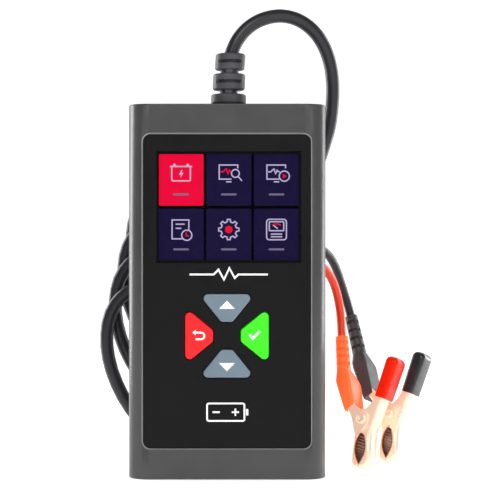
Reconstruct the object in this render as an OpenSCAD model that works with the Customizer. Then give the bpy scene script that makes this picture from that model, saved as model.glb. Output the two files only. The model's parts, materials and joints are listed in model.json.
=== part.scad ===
// Handheld battery tester standing on its lower end, with a clamp cable coiled behind it.
// X runs to the right, Y from the screen to the back, Z up. The origin is the middle of the base.

/* [Case] */
// Width of the case
body_w = 66; // [60:1:72]
// Depth of the case
body_d = 20; // [20:1:24]
// Height of the case
body_h = 125; // [122:1:135]
// Radius of the four upright edges
edge_r = 7; // [5:0.5:8]
// Wall thickness
wall = 2; // [1.6:0.1:2.4]
// Gap left between pieces that do not touch
gap = 0.1; // [0.05:0.05:0.15]

/* [Front panel] */
// Width of the panel
panel_w = 56; // [54:0.5:57]
// Height of the panel
panel_h = 104.6; // [100:0.2:106]
// Corner radius of the panel
panel_r = 2.5; // [1.5:0.5:4]
// Depth of the panel's face behind the rim of the case
panel_sink = 0.8; // [0.6:0.1:1]
// Thickness of the panel
panel_t = 0.6; // [0.4:0.1:0.8]

/* [Screen] */
// Width of the lens
lens_w = 48; // [46:0.5:49]
// Height of the lens
lens_h = 37; // [35:0.5:38]
// Height of the screen's middle above the base
lens_z = 90.6; // [89:0.2:92]

/* [Keypad] */
// Height of the keypad's middle above the base
pad_z = 47.8; // [46:0.2:50]
// Distance from the keypad's middle to a key's outer edge
key_reach = 13.9; // [13.6:0.1:14.6]
// Width of a key's outer edge
key_w = 15.6; // [14:0.2:16]
// Depth of a key from outer to inner edge
key_d = 9.3; // [8.5:0.1:9.5]
// Travel of a key
key_travel = 0.8; // [0.5:0.1:0.8]

/* [Cable] */
// Diameter of the cable
cable_dia = 4.6; // [4:0.1:4.7]
// Diameter of each clamp lead
lead_dia = 3; // [2.5:0.1:3.2]

/* [Clamps] */
// Angle that each clamp is turned about the upright axis
clamp_yaw = 30; // [25:1:35]
// Angle that each clamp leans back
clamp_lean = 15; // [10:1:18]
// Thickness of the clamp's sheet metal
sheet = 0.6; // [0.5:0.1:0.7]
// Width of a clamp across its outer cheeks
clamp_w = 8.2; // [8:0.2:8.4]

/* [Hidden] */
$fn = 48;

case_grey = [0.20, 0.20, 0.21];
panel_black = [0.10, 0.10, 0.11];
rubber_black = [0.13, 0.13, 0.14];
copper = [0.93, 0.68, 0.50];
steel = [0.75, 0.76, 0.78];
clamp_red = [0.95, 0.16, 0.08];

// Depths, counted from the middle of the case towards the back
front_y = -body_d / 2;
back_y = body_d / 2;
split_y = 1;
panel_y = front_y + panel_sink;
seat_y = panel_y + panel_t;
inner_y = front_y + panel_sink + panel_t + 1.8;
lens_front_y = panel_y + 0.1;
lens_back_y = lens_front_y + 0.8;
lcd_front_y = lens_back_y + 0.2;
lcd_back_y = inner_y + gap + 0.6;
frame_back_y = lcd_back_y + 2.2;
board_y = front_y + 7.8;
board_t = 1.6;
board_back_y = board_y + board_t;

panel_mid_z = 62.6;
lens_x = 0.6;
window_w = lens_w - 1;
window_h = lens_h - 1;

// Keys
key_corner = 1.5;
key_gap = 0.25;
key_front_y = front_y + 0.1;
key_flange_y = inner_y + gap;
key_flange_t = 0.8;
plunger_r = 1.5;
switch_t = 1.2;
switch_top_y = board_y - switch_t;
plunger_end_y = switch_top_y - key_travel - gap;
key_mid = key_reach - key_d / 2;
key_angles = [0, 180, 90, -90];

// Screw bosses: half spacings, and radii
boss_x = 26;
boss_low_z = 8;
boss_high_z = 117;
boss_r = 2.8;
board_boss_x = 20;
board_boss_z = 30;
pilot_r = 1.05;
screw_r = 1.15;
screw_head_r = 2.2;
screw_head_t = 1.6;
screw_sink = 3;

// Shallow recess for a label in the back
label_w = 40;
label_h = 60;
label_sink = 0.4;

// Cable gland in the top wall
gland_x = 0.4;
gland_neck_r = 4.2;

// Coil: each turn is a slanted oval, and its middle moves down and left from turn to turn
turn_a = 28;
turn_b = 31;
turn_slant = 0.45;
first_x = -6.2;
first_z = 67.2;
step_x = -2.6;
step_z = -11.5;
coil_sweep = 1328;
coil_front_y = back_y + 0.4;
coil_depth = 22.4;

// Routes of the cable and its leads, in order from the gland to the clamps
cable_route = [
    [0.8, 0, 140.6], [1.6, 0, 143.4], [3.6, 0.4, 147.6], [7, 1.2, 151.6], [11.8, 2.4, 154.6],
    [17.8, 4, 156], [23.8, 5.8, 155], [29, 8, 151.8], [32.8, 10.4, 147], [35.2, 12.6, 141],
    [36.3, 14.6, 134], [36.2, 16.4, 126.4], [35.2, 18.2, 118.8], [32.8, 20.4, 110.6],
    [29.6, 22.8, 101], [26.6, 25.4, 90], [24.4, 27.8, 79], [23.4, 29.4, 69.6], [23.1, 30.4, 60.4]];
tail_route = [[-25, 12.7, 64], [-17, 12.7, 64.6], [-9, 12.7, 66.2], [-1, 12.7, 68.6]];
red_route = [
    [15, 12.7, 71], [19.5, 12.8, 72.2], [24.5, 13.8, 73], [29, 15.8, 72.4], [33, 19, 70.4],
    [36.2, 22.8, 66.5], [38.2, 25.8, 61.5], [39.4, 27.4, 56], [39.9, 27.4, 50.5], [40.1, 26.2, 45.7]];
black_route = [
    [15, 12.7, 74.4], [19.5, 14, 76.6], [24, 16.4, 78], [28.6, 19.8, 78.2], [32.4, 23.6, 76.8],
    [35.8, 27.8, 74], [38.4, 31.8, 69.6], [40.4, 35.6, 64.4], [42.4, 38.6, 58.4], [44.1, 39.5, 52.4]];

red_pivot = [47.8, 13, 17.5];
black_pivot = [57.8, 21.2, 18.6];

// Clamp, seen from its side: u to the right, w up, the pivot at 0, 0.
// The black clamp's boot sits further up its handle, by its reach, and its neck leans more.
red_reach = [0, 0];
black_reach = [-4.8, 4.2];
red_neck_top = [-13.3, 29.2];
black_neck_top = [-21, 35];
jaw_profile = [
    [0.7, -16.8], [2.4, -16.6], [3.9, -15], [4.4, -12.6], [4.1, -8.5], [4, -4], [5, 0], [6, 4],
    [7.3, 8], [9.9, 19], [6.9, 19], [4.5, 9], [2.6, 5.2], [0.6, 3.6], [-2.6, 2], [-2.6, -2.2],
    [0.6, -4.4], [1.9, -7.2], [2.3, -9.6], [1.9, -12.6], [0.7, -15]];
function handle_profile(reach) = [
    [0.5, -16.8], [-1, -16.6], [-2.2, -15], [-2.6, -12], [-2.7, -8], [-2.9, -5], [-4, -2],
    [-4.8, 0.4], [-6.2, 3], reach + [-6.8, 4.4], reach + [-9.8, 12], reach + [-7, 12],
    reach + [-4.4, 6], [-2.6, 4.2], [-0.6, 3.4], [2.6, 2], [2.6, -2.2], [0.3, -4.4],
    [-0.9, -7.2], [-1.4, -10], [-0.9, -12.8], [0.5, -15]];
boot_profile = [[-13.2, 17.6], [-11.6, 12.6], [-6.7, 2.2], [-3.4, 4.7], [-5.6, 12.8], [-8.8, 17.6]];
boot_hollow = [[-10.1, 12.3], [-5.9, 1.3], [-2, 3.9], [-4.1, 6.1], [-6.7, 12.3]];
sleeve_profile = [
    [3.9, 8.7], [7.9, 7.8], [10.9, 19.6], [10.5, 21.2], [9, 22.3], [7.2, 21.6], [6.3, 19.8]];
sleeve_hollow = [[3.8, 7.4], [7.45, 7.4], [10.25, 19.3], [6.7, 19.3]];
inner_clamp_w = clamp_w - 2 * sheet - 2 * gap;
pin_r = 1;
pin_hole_r = 1.05;
hub_r = 5;
boot_w = clamp_w + 1.4;
neck_foot = [-11, 17.4];
neck_foot_r = 2.6;
neck_top_r = 2.2;

// ---- helpers ----

// A rounded rectangle with true arcs
module round_rect(w, h, r) {
    square([w - 2 * r, h], center = true);
    square([w, h - 2 * r], center = true);
    for (x = [-1, 1], y = [-1, 1])
        translate([x * (w / 2 - r), y * (h / 2 - r)]) circle(r);
}

// Extrudes an outline drawn in X and Z from depth y0 to depth y1
module slab(y0, y1) {
    translate([0, y1, 0]) rotate([90, 0, 0]) linear_extrude(y1 - y0) children();
}

// A cylinder that runs from front to back
module rod(x, z, y0, y1, r) {
    translate([x, y1, z]) rotate([90, 0, 0]) cylinder(r = r, h = y1 - y0);
}

module at_bosses() {
    for (x = [-boss_x, boss_x], z = [boss_low_z, boss_high_z]) translate([x, 0, z]) children();
}

module between(y0, y1) {
    translate([-body_w, y0, -1]) cube([2 * body_w, y1 - y0, body_h + 2]);
}

module case_block(inset) {
    translate([0, 0, inset])
        linear_extrude(body_h - 2 * inset)
            round_rect(body_w - 2 * inset, body_d - 2 * inset, edge_r - inset);
}

// The outline of one key with its outer edge away from the keypad's middle
module key_outline(grow) {
    outer_x = key_w / 2 - key_corner;
    inner_x = 1.2;
    translate([0, key_reach]) hull() for (s = [-1, 1]) {
        translate([s * outer_x, -key_corner]) circle(key_corner + grow, $fn = 32);
        translate([s * inner_x, key_corner - key_d]) circle(key_corner + grow, $fn = 32);
    }
}

module at_pad() {
    translate([0, pad_z]) children();
}

module all_keys(grow) {
    at_pad() for (a = key_angles) rotate(a) key_outline(grow);
}

function unit(v) = v / norm(v);
function heading(route, i) =
    unit(route[min(i + 1, len(route) - 1)] - route[max(i - 1, 0)]);

// A round tube along a route, as one closed solid
module tube(route, r, sides = 8) {
    rings = len(route);
    points = [for (i = [0:rings - 1])
        let (t = heading(route, i), n = unit(cross(t, [0, 1, 0])), b = cross(t, n))
            for (j = [0:sides - 1])
                route[i] + r * (cos(360 * j / sides) * n + sin(360 * j / sides) * b)];
    walls = [for (i = [0:rings - 2], j = [0:sides - 1])
        let (k = (j + 1) % sides, a = i * sides, c = (i + 1) * sides)
            each [[a + j, c + j, c + k], [a + j, c + k, a + k]]];
    start = [for (j = [0:sides - 1]) j];
    end = [for (j = [sides - 1:-1:0]) (rings - 1) * sides + j];
    polyhedron(points, concat([start], walls, [end]));
}

// ---- case ----

module front_cover() {
    color(case_grey) difference() {
        union() {
            difference() {
                intersection() {
                    case_block(0);
                    between(front_y - 1, split_y);
                }
                intersection() {
                    case_block(wall);
                    between(inner_y, split_y + 1);
                }
            }
            at_bosses() rod(0, 0, inner_y - 0.5, split_y, boss_r);
            for (x = [-board_boss_x, board_boss_x])
                rod(x, board_boss_z, inner_y - 0.5, board_y, boss_r);
        }
        slab(front_y - 1, seat_y) translate([0, panel_mid_z]) round_rect(panel_w, panel_h, panel_r);
        slab(seat_y - 1, lens_back_y)
            translate([lens_x, lens_z]) square([lens_w + 2 * gap, lens_h + 2 * gap], center = true);
        slab(seat_y - 1, inner_y + 1)
            translate([lens_x, lens_z]) square([window_w, window_h], center = true);
        slab(seat_y - 1, inner_y + 1) all_keys(key_gap);
        at_bosses() rod(0, 0, inner_y + 0.5, split_y + 1, pilot_r);
        for (x = [-board_boss_x, board_boss_x])
            rod(x, board_boss_z, inner_y + 0.5, board_y + 1, screw_r);
        translate([gland_x, 0, body_h - wall - 1]) cylinder(r = gland_neck_r + gap, h = wall + 2);
    }
}

module rear_cover() {
    color(case_grey) difference() {
        union() {
            difference() {
                intersection() {
                    case_block(0);
                    between(split_y, back_y + 1);
                }
                intersection() {
                    case_block(wall);
                    between(split_y - 1, back_y);
                }
            }
            at_bosses() rod(0, 0, split_y, back_y - 0.5, boss_r + 0.4);
        }
        at_bosses() rod(0, 0, split_y - 1, back_y + 1, screw_r + 0.2);
        at_bosses() rod(0, 0, back_y - screw_sink, back_y + 1, screw_head_r + 0.3);
        translate([gland_x, 0, body_h - wall - 1]) cylinder(r = gland_neck_r + gap, h = wall + 2);
        slab(back_y - label_sink, back_y + 1)
            translate([0, body_h / 2]) round_rect(label_w, label_h, 2);
    }
}

module face_panel() {
    color(panel_black) difference() {
        slab(panel_y, seat_y)
            translate([0, panel_mid_z])
                round_rect(panel_w - 2 * gap, panel_h - 2 * gap, panel_r - gap);
        slab(panel_y - 1, seat_y + 1)
            translate([lens_x, lens_z]) square([lens_w + 2 * gap, lens_h + 2 * gap], center = true);
        slab(panel_y - 1, seat_y + 1) all_keys(key_gap);
    }
}

module screen_lens() {
    color([0.1, 0.1, 0.12, 0.4])
        slab(lens_front_y, lens_back_y)
            translate([lens_x, lens_z]) square([lens_w, lens_h], center = true);
}

module lcd_glass() {
    color([0.09, 0.06, 0.22])
        slab(lcd_front_y, lcd_back_y)
            translate([lens_x, lens_z])
                square([window_w - 2 * gap, window_h - 2 * gap], center = true);
}

module lcd_frame() {
    rim = 2.4;
    color(steel) slab(lcd_back_y, frame_back_y)
        translate([lens_x, lens_z]) square([window_w + 2 * rim, window_h + 2 * rim], center = true);
}

// ---- electronics ----

module main_board() {
    color([0.05, 0.32, 0.16]) difference() {
        slab(board_y, board_back_y)
            translate([0, body_h / 2]) square([body_w - 9, body_h - 12], center = true);
        at_bosses() rod(0, 0, board_y - 1, board_back_y + 1, boss_r + 0.7);
        for (x = [-board_boss_x, board_boss_x])
            rod(x, board_boss_z, board_y - 1, board_back_y + 1, screw_r);
    }
}

module dome_switches() {
    color(steel) for (a = key_angles)
        slab(switch_top_y, board_y)
            at_pad() rotate(a) translate([0, key_mid]) square(5, center = true);
}

module keypad_mat() {
    color([0.55, 0.56, 0.58]) difference() {
        slab(plunger_end_y - 0.6, plunger_end_y + 0.6)
            at_pad() round_rect(2 * key_reach, 2 * key_reach, 3);
        for (a = key_angles)
            slab(plunger_end_y - 1, plunger_end_y + 1)
                at_pad() rotate(a) translate([0, key_mid]) circle(plunger_r + 0.5);
    }
}

module controller_chip() {
    chip_z = 66;
    chip_w = 10;
    chip_t = 1.4;
    pins = 8;
    pitch = 1.2;
    pin_l = 1.2;
    color([0.08, 0.08, 0.09]) slab(board_back_y, board_back_y + chip_t)
        translate([0, chip_z]) square(chip_w, center = true);
    color(steel) for (s = [-1, 1], i = [0:pins - 1])
        slab(board_back_y, board_back_y + 0.4)
            translate([s * (chip_w + pin_l) / 2, chip_z + (i - (pins - 1) / 2) * pitch])
                square([pin_l, 0.5], center = true);
}

module load_transistors() {
    case_w = 10;
    case_h = 15;
    case_t = 4.4;
    middle_z = 92;
    color([0.1, 0.1, 0.11]) for (x = [-14, 0, 14])
        slab(board_back_y, board_back_y + case_t)
            translate([x, middle_z]) square([case_w, case_h], center = true);
}

module buzzer() {
    buzzer_x = 15;
    buzzer_z = 62;
    buzzer_r = 5;
    buzzer_t = 5.4;
    color([0.07, 0.07, 0.08]) difference() {
        rod(buzzer_x, buzzer_z, board_back_y, board_back_y + buzzer_t, buzzer_r);
        rod(buzzer_x, buzzer_z, board_back_y + buzzer_t - 1, board_back_y + buzzer_t + 1, 1);
    }
}

module cable_header() {
    color([0.9, 0.9, 0.86]) difference() {
        slab(board_back_y, board_back_y + 5) translate([0, 108]) square([11, 7], center = true);
        slab(board_back_y + 1, board_back_y + 4) translate([0, 110.4]) square([9, 4], center = true);
    }
}

module flex_ribbon() {
    color([0.75, 0.5, 0.15])
        slab(frame_back_y, board_y) translate([lens_x, lens_z - 14]) square([16, 9], center = true);
}

module inner_wires() {
    for (s = [-1, 1]) color(s < 0 ? clamp_red : rubber_black)
        translate([gland_x + s * 1.8, board_back_y + 2.5, 108.4]) cylinder(r = 0.9, h = 12);
}

module screw(x, z, y_tip, y_head, r, head_r, head_t) {
    difference() {
        union() {
            rod(x, z, y_tip, y_head, r);
            rod(x, z, y_head, y_head + head_t, head_r);
        }
        slab(y_head + head_t - 0.7, y_head + head_t + 1) translate([x, z]) {
            square([head_r * 1.3, 0.6], center = true);
            square([0.6, head_r * 1.3], center = true);
        }
    }
}

module case_screws() {
    head_y = back_y - screw_sink;
    color(steel) for (x = [-boss_x, boss_x], z = [boss_low_z, boss_high_z])
        screw(x, z, inner_y + 1.2, head_y, pilot_r - 0.05, screw_head_r, screw_head_t);
}

module board_screws() {
    color(steel) for (x = [-board_boss_x, board_boss_x])
        screw(x, board_boss_z, board_y - 3, board_back_y, screw_r - 0.05, 2, 1.2);
}

// ---- keys ----

module key(angle) {
    slab(key_front_y, key_flange_y + gap) at_pad() rotate(angle) key_outline(0);
    slab(key_flange_y, key_flange_y + key_flange_t) at_pad() rotate(angle) key_outline(0.6);
    slab(key_flange_y, plunger_end_y)
        at_pad() rotate(angle) translate([0, key_mid]) circle(plunger_r);
}

module up_button() {
    color([0.55, 0.63, 0.72]) key(0);
}

module down_button() {
    color([0.55, 0.63, 0.72]) key(180);
}

module back_button() {
    color([0.95, 0.16, 0.16]) key(90);
}

module ok_button() {
    color([0.25, 0.95, 0.15]) key(-90);
}

module printed() {
    color("white") slab(front_y, key_front_y) at_pad() children();
}

module up_mark() {
    printed() polygon([[-2.6, 9], [2.6, 9], [0, 11.7]]);
}

module down_mark() {
    printed() polygon([[-2.6, -9], [0, -11.7], [2.6, -9]]);
}

// An arrow that turns back to the left
module back_mark() {
    bar = 0.6;
    printed() translate([-9.2, 0]) {
        difference() {
            translate([0.6, 0]) circle(1.4);
            translate([0.6, 0]) circle(1.4 - bar);
            translate([-1.4, -2]) square([2, 4]);
        }
        translate([-1.2, 1.4 - bar]) square([1.85, bar]);
        translate([-1.2, -1.4]) square([1.85, bar]);
        polygon([[-2.3, 1.1], [-1.15, 2], [-1.15, 0.2]]);
    }
}

// A tick
module ok_mark() {
    printed() translate([9.2, 0])
        polygon([[-2, 0.1], [-1.5, 0.7], [-0.6, -0.3], [1.4, 1.8], [2, 1.3], [-0.6, -1.5]]);
}

// ---- cable ----

module strain_relief() {
    collars = [[0, 4, 5.9], [5.8, 4.9, 5.4], [12, 5.6, 5]];
    color(rubber_black) translate([gland_x, 0, body_h]) {
        translate([0, 0, -wall - 0.1]) cylinder(r = gland_neck_r, h = wall + 0.2);
        translate([0, 0, -wall - 2.6]) cylinder(r = gland_neck_r + 1.4, h = 2.5);
        cylinder(r = 3.1, h = 17);
        for (c = collars) translate([0, 0, c[0]]) cylinder(r = c[2], h = c[1]);
    }
}

module cable() {
    color(rubber_black) tube(cable_route, cable_dia / 2);
}

module cable_tail() {
    color(rubber_black) tube(tail_route, cable_dia / 2);
}

// Where the middle of the cable is in X and Z when it has turned by t degrees
function turn(t) = (t - 180) / 360;
function coil_point(t) = [
    first_x + turn(t) * step_x + turn_a * cos(t),
    first_z + turn(t) * step_z - turn_b * sin(t) - turn_slant * turn_a * cos(t)];

module coil() {
    hole_a = 12;
    hole_b = 15;
    middle = turn(coil_sweep / 2);
    color(rubber_black) slab(coil_front_y, coil_front_y + coil_depth) difference() {
        hull() for (t = [0:12:coil_sweep]) translate(coil_point(t)) circle(cable_dia / 2, $fn = 16);
        translate([first_x + middle * step_x, first_z + middle * step_z])
            polygon([for (t = [0:20:340])
                [hole_a * cos(t), hole_b * sin(t) - turn_slant * hole_a * cos(t)]]);
    }
}

module cable_tie() {
    tie_x = 14;
    tie_z = 42;
    inner_w = 16;
    strap_w = 8;
    strap_t = 1;
    color([0.09, 0.09, 0.1]) translate([tie_x, coil_front_y + coil_depth / 2, tie_z]) difference() {
        cube([inner_w + 2 * strap_t, coil_depth + 0.6, strap_w], center = true);
        cube([inner_w, coil_depth - 2 * strap_t + 0.6, strap_w + 1], center = true);
    }
}

module splitter() {
    splitter_t = 4.8;
    color(rubber_black) slab(coil_front_y, coil_front_y + splitter_t) hull() {
        translate([-3, 68]) circle(2.8, $fn = 32);
        translate([5, 70.6]) circle(3, $fn = 32);
        translate([16, 74.6]) circle(2, $fn = 32);
        translate([16, 71]) circle(2, $fn = 32);
    }
}

module red_lead() {
    color(clamp_red) tube(red_route, lead_dia / 2);
}

module black_lead() {
    color(rubber_black) tube(black_route, lead_dia / 2);
}

// ---- clamps ----

module at_clamp(pivot) {
    translate(pivot) rotate([0, 0, -clamp_yaw]) rotate([-clamp_lean, 0, 0]) children();
}

// One half in sheet metal: two cheeks, and the spine between them on the outer side
module half(profile, width, side) {
    difference() {
        slab(-width / 2, width / 2) difference() {
            polygon(profile);
            circle(pin_hole_r);
        }
        slab(-width / 2 + sheet, width / 2 - sheet)
            translate([-side * sheet, sheet]) polygon(profile);
        slab(-width / 2 + sheet, width / 2 - sheet) circle(hub_r);
    }
}

// The half that carries the lead: its cheeks lie outside the other's
module fixed_jaw(reach) {
    half(handle_profile(reach), clamp_w, -1);
}

module moving_jaw() {
    half(jaw_profile, inner_clamp_w, 1);
}

module pivot_pin() {
    length = clamp_w + 1.2;
    rod(0, 0, -length / 2, length / 2, pin_r);
    for (s = [-1, 1])
        rod(0, 0, s * (clamp_w / 2 + 0.35) - 0.3, s * (clamp_w / 2 + 0.35) + 0.3, 1.9);
}

module torsion_spring() {
    difference() {
        rod(0, 0, -1.9, 1.9, 1.9);
        rod(0, 0, -3, 3, pin_r + 0.2);
    }
}

module neck_end(at, r) {
    translate([at.x, 0, at.y - 1]) cylinder(r = r, h = 1, $fn = 32);
}

module boot(reach, neck_top) {
    difference() {
        union() {
            slab(-boot_w / 2, boot_w / 2) translate(reach) polygon(boot_profile);
            hull() {
                neck_end(neck_foot + reach, neck_foot_r);
                neck_end(neck_top, neck_top_r);
            }
        }
        slab(-clamp_w / 2 - gap, clamp_w / 2 + gap) translate(reach) polygon(boot_hollow);
    }
}

module sleeve() {
    width = inner_clamp_w + 1.2;
    difference() {
        slab(-width / 2, width / 2) polygon(sleeve_profile);
        slab(-inner_clamp_w / 2 - gap, inner_clamp_w / 2 + gap) polygon(sleeve_hollow);
    }
}

// The crimped wire end that is folded over inside the handle
module terminal(reach) {
    translate([reach.x - 5.8, 0, reach.y + 7]) rotate([0, -22, 0]) cylinder(r = 1, h = 4.5);
}

module red_boot() {
    color(clamp_red) at_clamp(red_pivot) boot(red_reach, red_neck_top);
}

module red_fixed_jaw() {
    color(copper) at_clamp(red_pivot) fixed_jaw(red_reach);
}

module red_moving_jaw() {
    color(copper) at_clamp(red_pivot) moving_jaw();
}

module red_sleeve() {
    color(clamp_red) at_clamp(red_pivot) sleeve();
}

module red_pivot_pin() {
    color(copper) at_clamp(red_pivot) pivot_pin();
}

module red_spring() {
    color(steel) at_clamp(red_pivot) torsion_spring();
}

module red_terminal() {
    color(steel) at_clamp(red_pivot) terminal(red_reach);
}

module black_boot() {
    color(rubber_black) at_clamp(black_pivot) boot(black_reach, black_neck_top);
}

module black_fixed_jaw() {
    color(copper) at_clamp(black_pivot) fixed_jaw(black_reach);
}

module black_moving_jaw() {
    color(copper) at_clamp(black_pivot) moving_jaw();
}

module black_sleeve() {
    color(rubber_black) at_clamp(black_pivot) sleeve();
}

module black_pivot_pin() {
    color(copper) at_clamp(black_pivot) pivot_pin();
}

module black_spring() {
    color(steel) at_clamp(black_pivot) torsion_spring();
}

module black_terminal() {
    color(steel) at_clamp(black_pivot) terminal(black_reach);
}

front_cover();
rear_cover();
face_panel();
screen_lens();
lcd_glass();
lcd_frame();
main_board();
dome_switches();
keypad_mat();
controller_chip();
load_transistors();
buzzer();
cable_header();
flex_ribbon();
inner_wires();
case_screws();
board_screws();
strain_relief();
cable();
coil();
cable_tail();
cable_tie();
splitter();
red_lead();
black_lead();
up_button();
up_mark();
down_button();
down_mark();
back_button();
back_mark();
ok_button();
ok_mark();
red_boot();
red_fixed_jaw();
red_moving_jaw();
red_sleeve();
red_pivot_pin();
red_spring();
red_terminal();
black_boot();
black_fixed_jaw();
black_moving_jaw();
black_sleeve();
black_pivot_pin();
black_spring();
black_terminal();
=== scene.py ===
"""The looks of a handheld battery tester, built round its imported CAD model.
"""
import json
import math

import bmesh
import bpy
from mathutils import Matrix, Vector


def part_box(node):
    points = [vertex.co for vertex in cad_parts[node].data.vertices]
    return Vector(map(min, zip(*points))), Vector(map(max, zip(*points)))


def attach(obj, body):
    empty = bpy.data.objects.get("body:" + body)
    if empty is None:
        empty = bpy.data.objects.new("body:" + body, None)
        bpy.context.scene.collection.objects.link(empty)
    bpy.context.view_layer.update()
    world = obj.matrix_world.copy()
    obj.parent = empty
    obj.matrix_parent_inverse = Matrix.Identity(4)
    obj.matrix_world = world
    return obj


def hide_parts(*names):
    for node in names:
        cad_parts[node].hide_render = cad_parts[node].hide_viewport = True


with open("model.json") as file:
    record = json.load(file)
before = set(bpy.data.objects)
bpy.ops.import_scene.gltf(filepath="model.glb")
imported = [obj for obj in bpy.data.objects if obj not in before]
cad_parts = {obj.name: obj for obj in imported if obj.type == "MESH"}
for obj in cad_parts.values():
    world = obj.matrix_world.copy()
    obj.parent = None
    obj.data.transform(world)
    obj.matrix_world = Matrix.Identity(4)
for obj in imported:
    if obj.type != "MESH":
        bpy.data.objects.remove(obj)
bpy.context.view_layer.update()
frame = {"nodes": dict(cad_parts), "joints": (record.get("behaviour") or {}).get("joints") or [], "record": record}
MM = 0.001
# Bevels leave a bend of up to this many degrees unrounded
BEVEL_ANGLE = 35
# Points closer than this, in metres, count as one, in new meshes and in the CAD nodes
SAME_POINT = 1e-7
WELD_GAP = 1e-6
# CAD faces that meet at less than this many degrees become one flat face
FLAT_ANGLE = 0.5
WORLD_LIGHT = 0.14
NODES = frame["nodes"]
JOINTS = {joint["name"]: joint for joint in frame["joints"]}


def box_mm(node):
    low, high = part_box(node)
    return Vector(low) / MM, Vector(high) / MM


CASE_LOW, CASE_HIGH = box_mm("front_cover")
LENS_LOW, LENS_HIGH = box_mm("screen_lens")
GLASS_LOW = box_mm("lcd_glass")[0]
PANEL_LOW, PANEL_HIGH = box_mm("face_panel")
RELIEF_LOW, RELIEF_HIGH = box_mm("strain_relief")
SCREEN_X = (LENS_LOW.x + LENS_HIGH.x) / 2
SCREEN_Z = (LENS_LOW.z + LENS_HIGH.z) / 2
PIVOTS = {
    colour: Vector(JOINTS[f"{colour}_clamp_open"]["pos_m"]) / MM for colour in ("red", "black")
}
CLAMP_YAW, CLAMP_LEAN = 30, 15
CLAMP_TURN = (Matrix.Rotation(math.radians(-CLAMP_YAW), 3, "Z")
              @ Matrix.Rotation(math.radians(-CLAMP_LEAN), 3, "X"))
# How far each boot sits up its handle, and where the top of its neck is, in the clamp's own u and w
REACH = {"red": (0.0, 0.0), "black": (-4.8, 4.2)}
NECK_TOP = {"red": (-13.3, 29.2), "black": (-21.0, 35.0)}


# ---------------------------------------------------------------- camera
def make_camera():
    distance = 560
    middle = Vector((8, CASE_LOW.y, 76))
    view_width = 166.7
    data = bpy.data.cameras.new("camera")
    data.sensor_width = 36
    data.lens = data.sensor_width * distance / view_width
    camera = bpy.data.objects.new("camera", data)
    camera.location = (middle - Vector((0, distance, 0))) * MM
    camera.rotation_euler = (math.radians(90), 0, 0)
    bpy.context.scene.collection.objects.link(camera)
    bpy.context.scene.camera = camera


make_camera()


# ---------------------------------------------------------------- materials
def linear(colour):
    """sRGB values from 0 to 255 as linear values."""
    return [(c / 255 / 12.92) if c < 11 else ((c / 255 + 0.055) / 1.055) ** 2.4 for c in colour]


# The part of a noise texture's range that its colours and gloss are spread over
NOISE_LOW, NOISE_HIGH = 0.3, 0.7
CLOUD_SCALE, GLOSS_SCALE, SCRATCH_SCALE = 90, 260, 2600
GLOSS_VARY = 0.12
RELIEF_DEPTH = 0.0002
UNLIT_SCREEN = [0.004, 0.004, 0.005]


def material(name, colour, rough, metal=0.0, grain=900, bump=0.15, vary=0.12, scratch=0.0,
             emit=0.0, coat=0.0, alpha=1.0, weave=0, spec=0.5, lit=False):
    """A surface with fine grain, uneven colour and gloss, and optional scratches or weave.

    A lit surface is nearly black and shines with the colour itself, as a display does.
    """
    mat = bpy.data.materials.new(name)
    mat.use_nodes = True
    tree = mat.node_tree
    nodes, links = tree.nodes, tree.links
    shader = nodes["Principled BSDF"]
    shader.inputs["Metallic"].default_value = metal
    shader.inputs["Coat Weight"].default_value = coat
    shader.inputs["Coat Roughness"].default_value = 0.12
    shader.inputs["Alpha"].default_value = alpha
    shader.inputs["Specular IOR Level"].default_value = spec
    glow = linear(colour)
    base = UNLIT_SCREEN if lit else glow
    place = nodes.new("ShaderNodeTexCoord").outputs["Object"]

    def noise(scale, detail):
        node = nodes.new("ShaderNodeTexNoise")
        node.inputs["Scale"].default_value = scale
        node.inputs["Detail"].default_value = detail
        links.new(place, node.inputs["Vector"])
        return node.outputs["Fac"]

    def between(source, low, high):
        node = nodes.new("ShaderNodeMapRange")
        node.inputs["From Min"].default_value = NOISE_LOW
        node.inputs["From Max"].default_value = NOISE_HIGH
        node.inputs["To Min"].default_value = low
        node.inputs["To Max"].default_value = high
        links.new(source, node.inputs["Value"])
        return node.outputs["Result"]

    clouds = noise(CLOUD_SCALE, 4)
    ramp = nodes.new("ShaderNodeValToRGB")
    ramp.color_ramp.elements[0].position = NOISE_LOW
    ramp.color_ramp.elements[1].position = NOISE_HIGH
    ramp.color_ramp.elements[0].color = [c * (1 - vary) for c in base] + [1]
    ramp.color_ramp.elements[1].color = [min(1, c * (1 + vary)) for c in base] + [1]
    links.new(clouds, ramp.inputs["Fac"])
    links.new(ramp.outputs["Color"], shader.inputs["Base Color"])
    gloss = between(noise(GLOSS_SCALE, 3), rough * (1 - GLOSS_VARY), rough * (1 + GLOSS_VARY))
    links.new(gloss, shader.inputs["Roughness"])
    # emit adds a glow in the colour itself: on a display it is the screen's own light, on any other part it is
    # painted light
    if emit:
        shader.inputs["Emission Color"].default_value = glow + [1]
        shader.inputs["Emission Strength"].default_value = emit
    height = noise(grain, 2)
    if weave:
        wave = nodes.new("ShaderNodeTexWave")
        wave.bands_direction = "DIAGONAL"
        wave.inputs["Scale"].default_value = weave
        links.new(place, wave.inputs["Vector"])
        height = wave.outputs["Fac"]
    if scratch:
        stretch = nodes.new("ShaderNodeMapping")
        stretch.inputs["Scale"].default_value = (1, 1, 0.06)
        links.new(place, stretch.inputs["Vector"])
        lines = nodes.new("ShaderNodeTexNoise")
        lines.inputs["Scale"].default_value = SCRATCH_SCALE
        links.new(stretch.outputs["Vector"], lines.inputs["Vector"])
        height = lines.outputs["Fac"]
    relief = nodes.new("ShaderNodeBump")
    relief.inputs["Strength"].default_value = scratch or bump
    relief.inputs["Distance"].default_value = RELIEF_DEPTH
    links.new(height, relief.inputs["Height"])
    links.new(relief.outputs["Normal"], shader.inputs["Normal"])
    return mat


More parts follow.
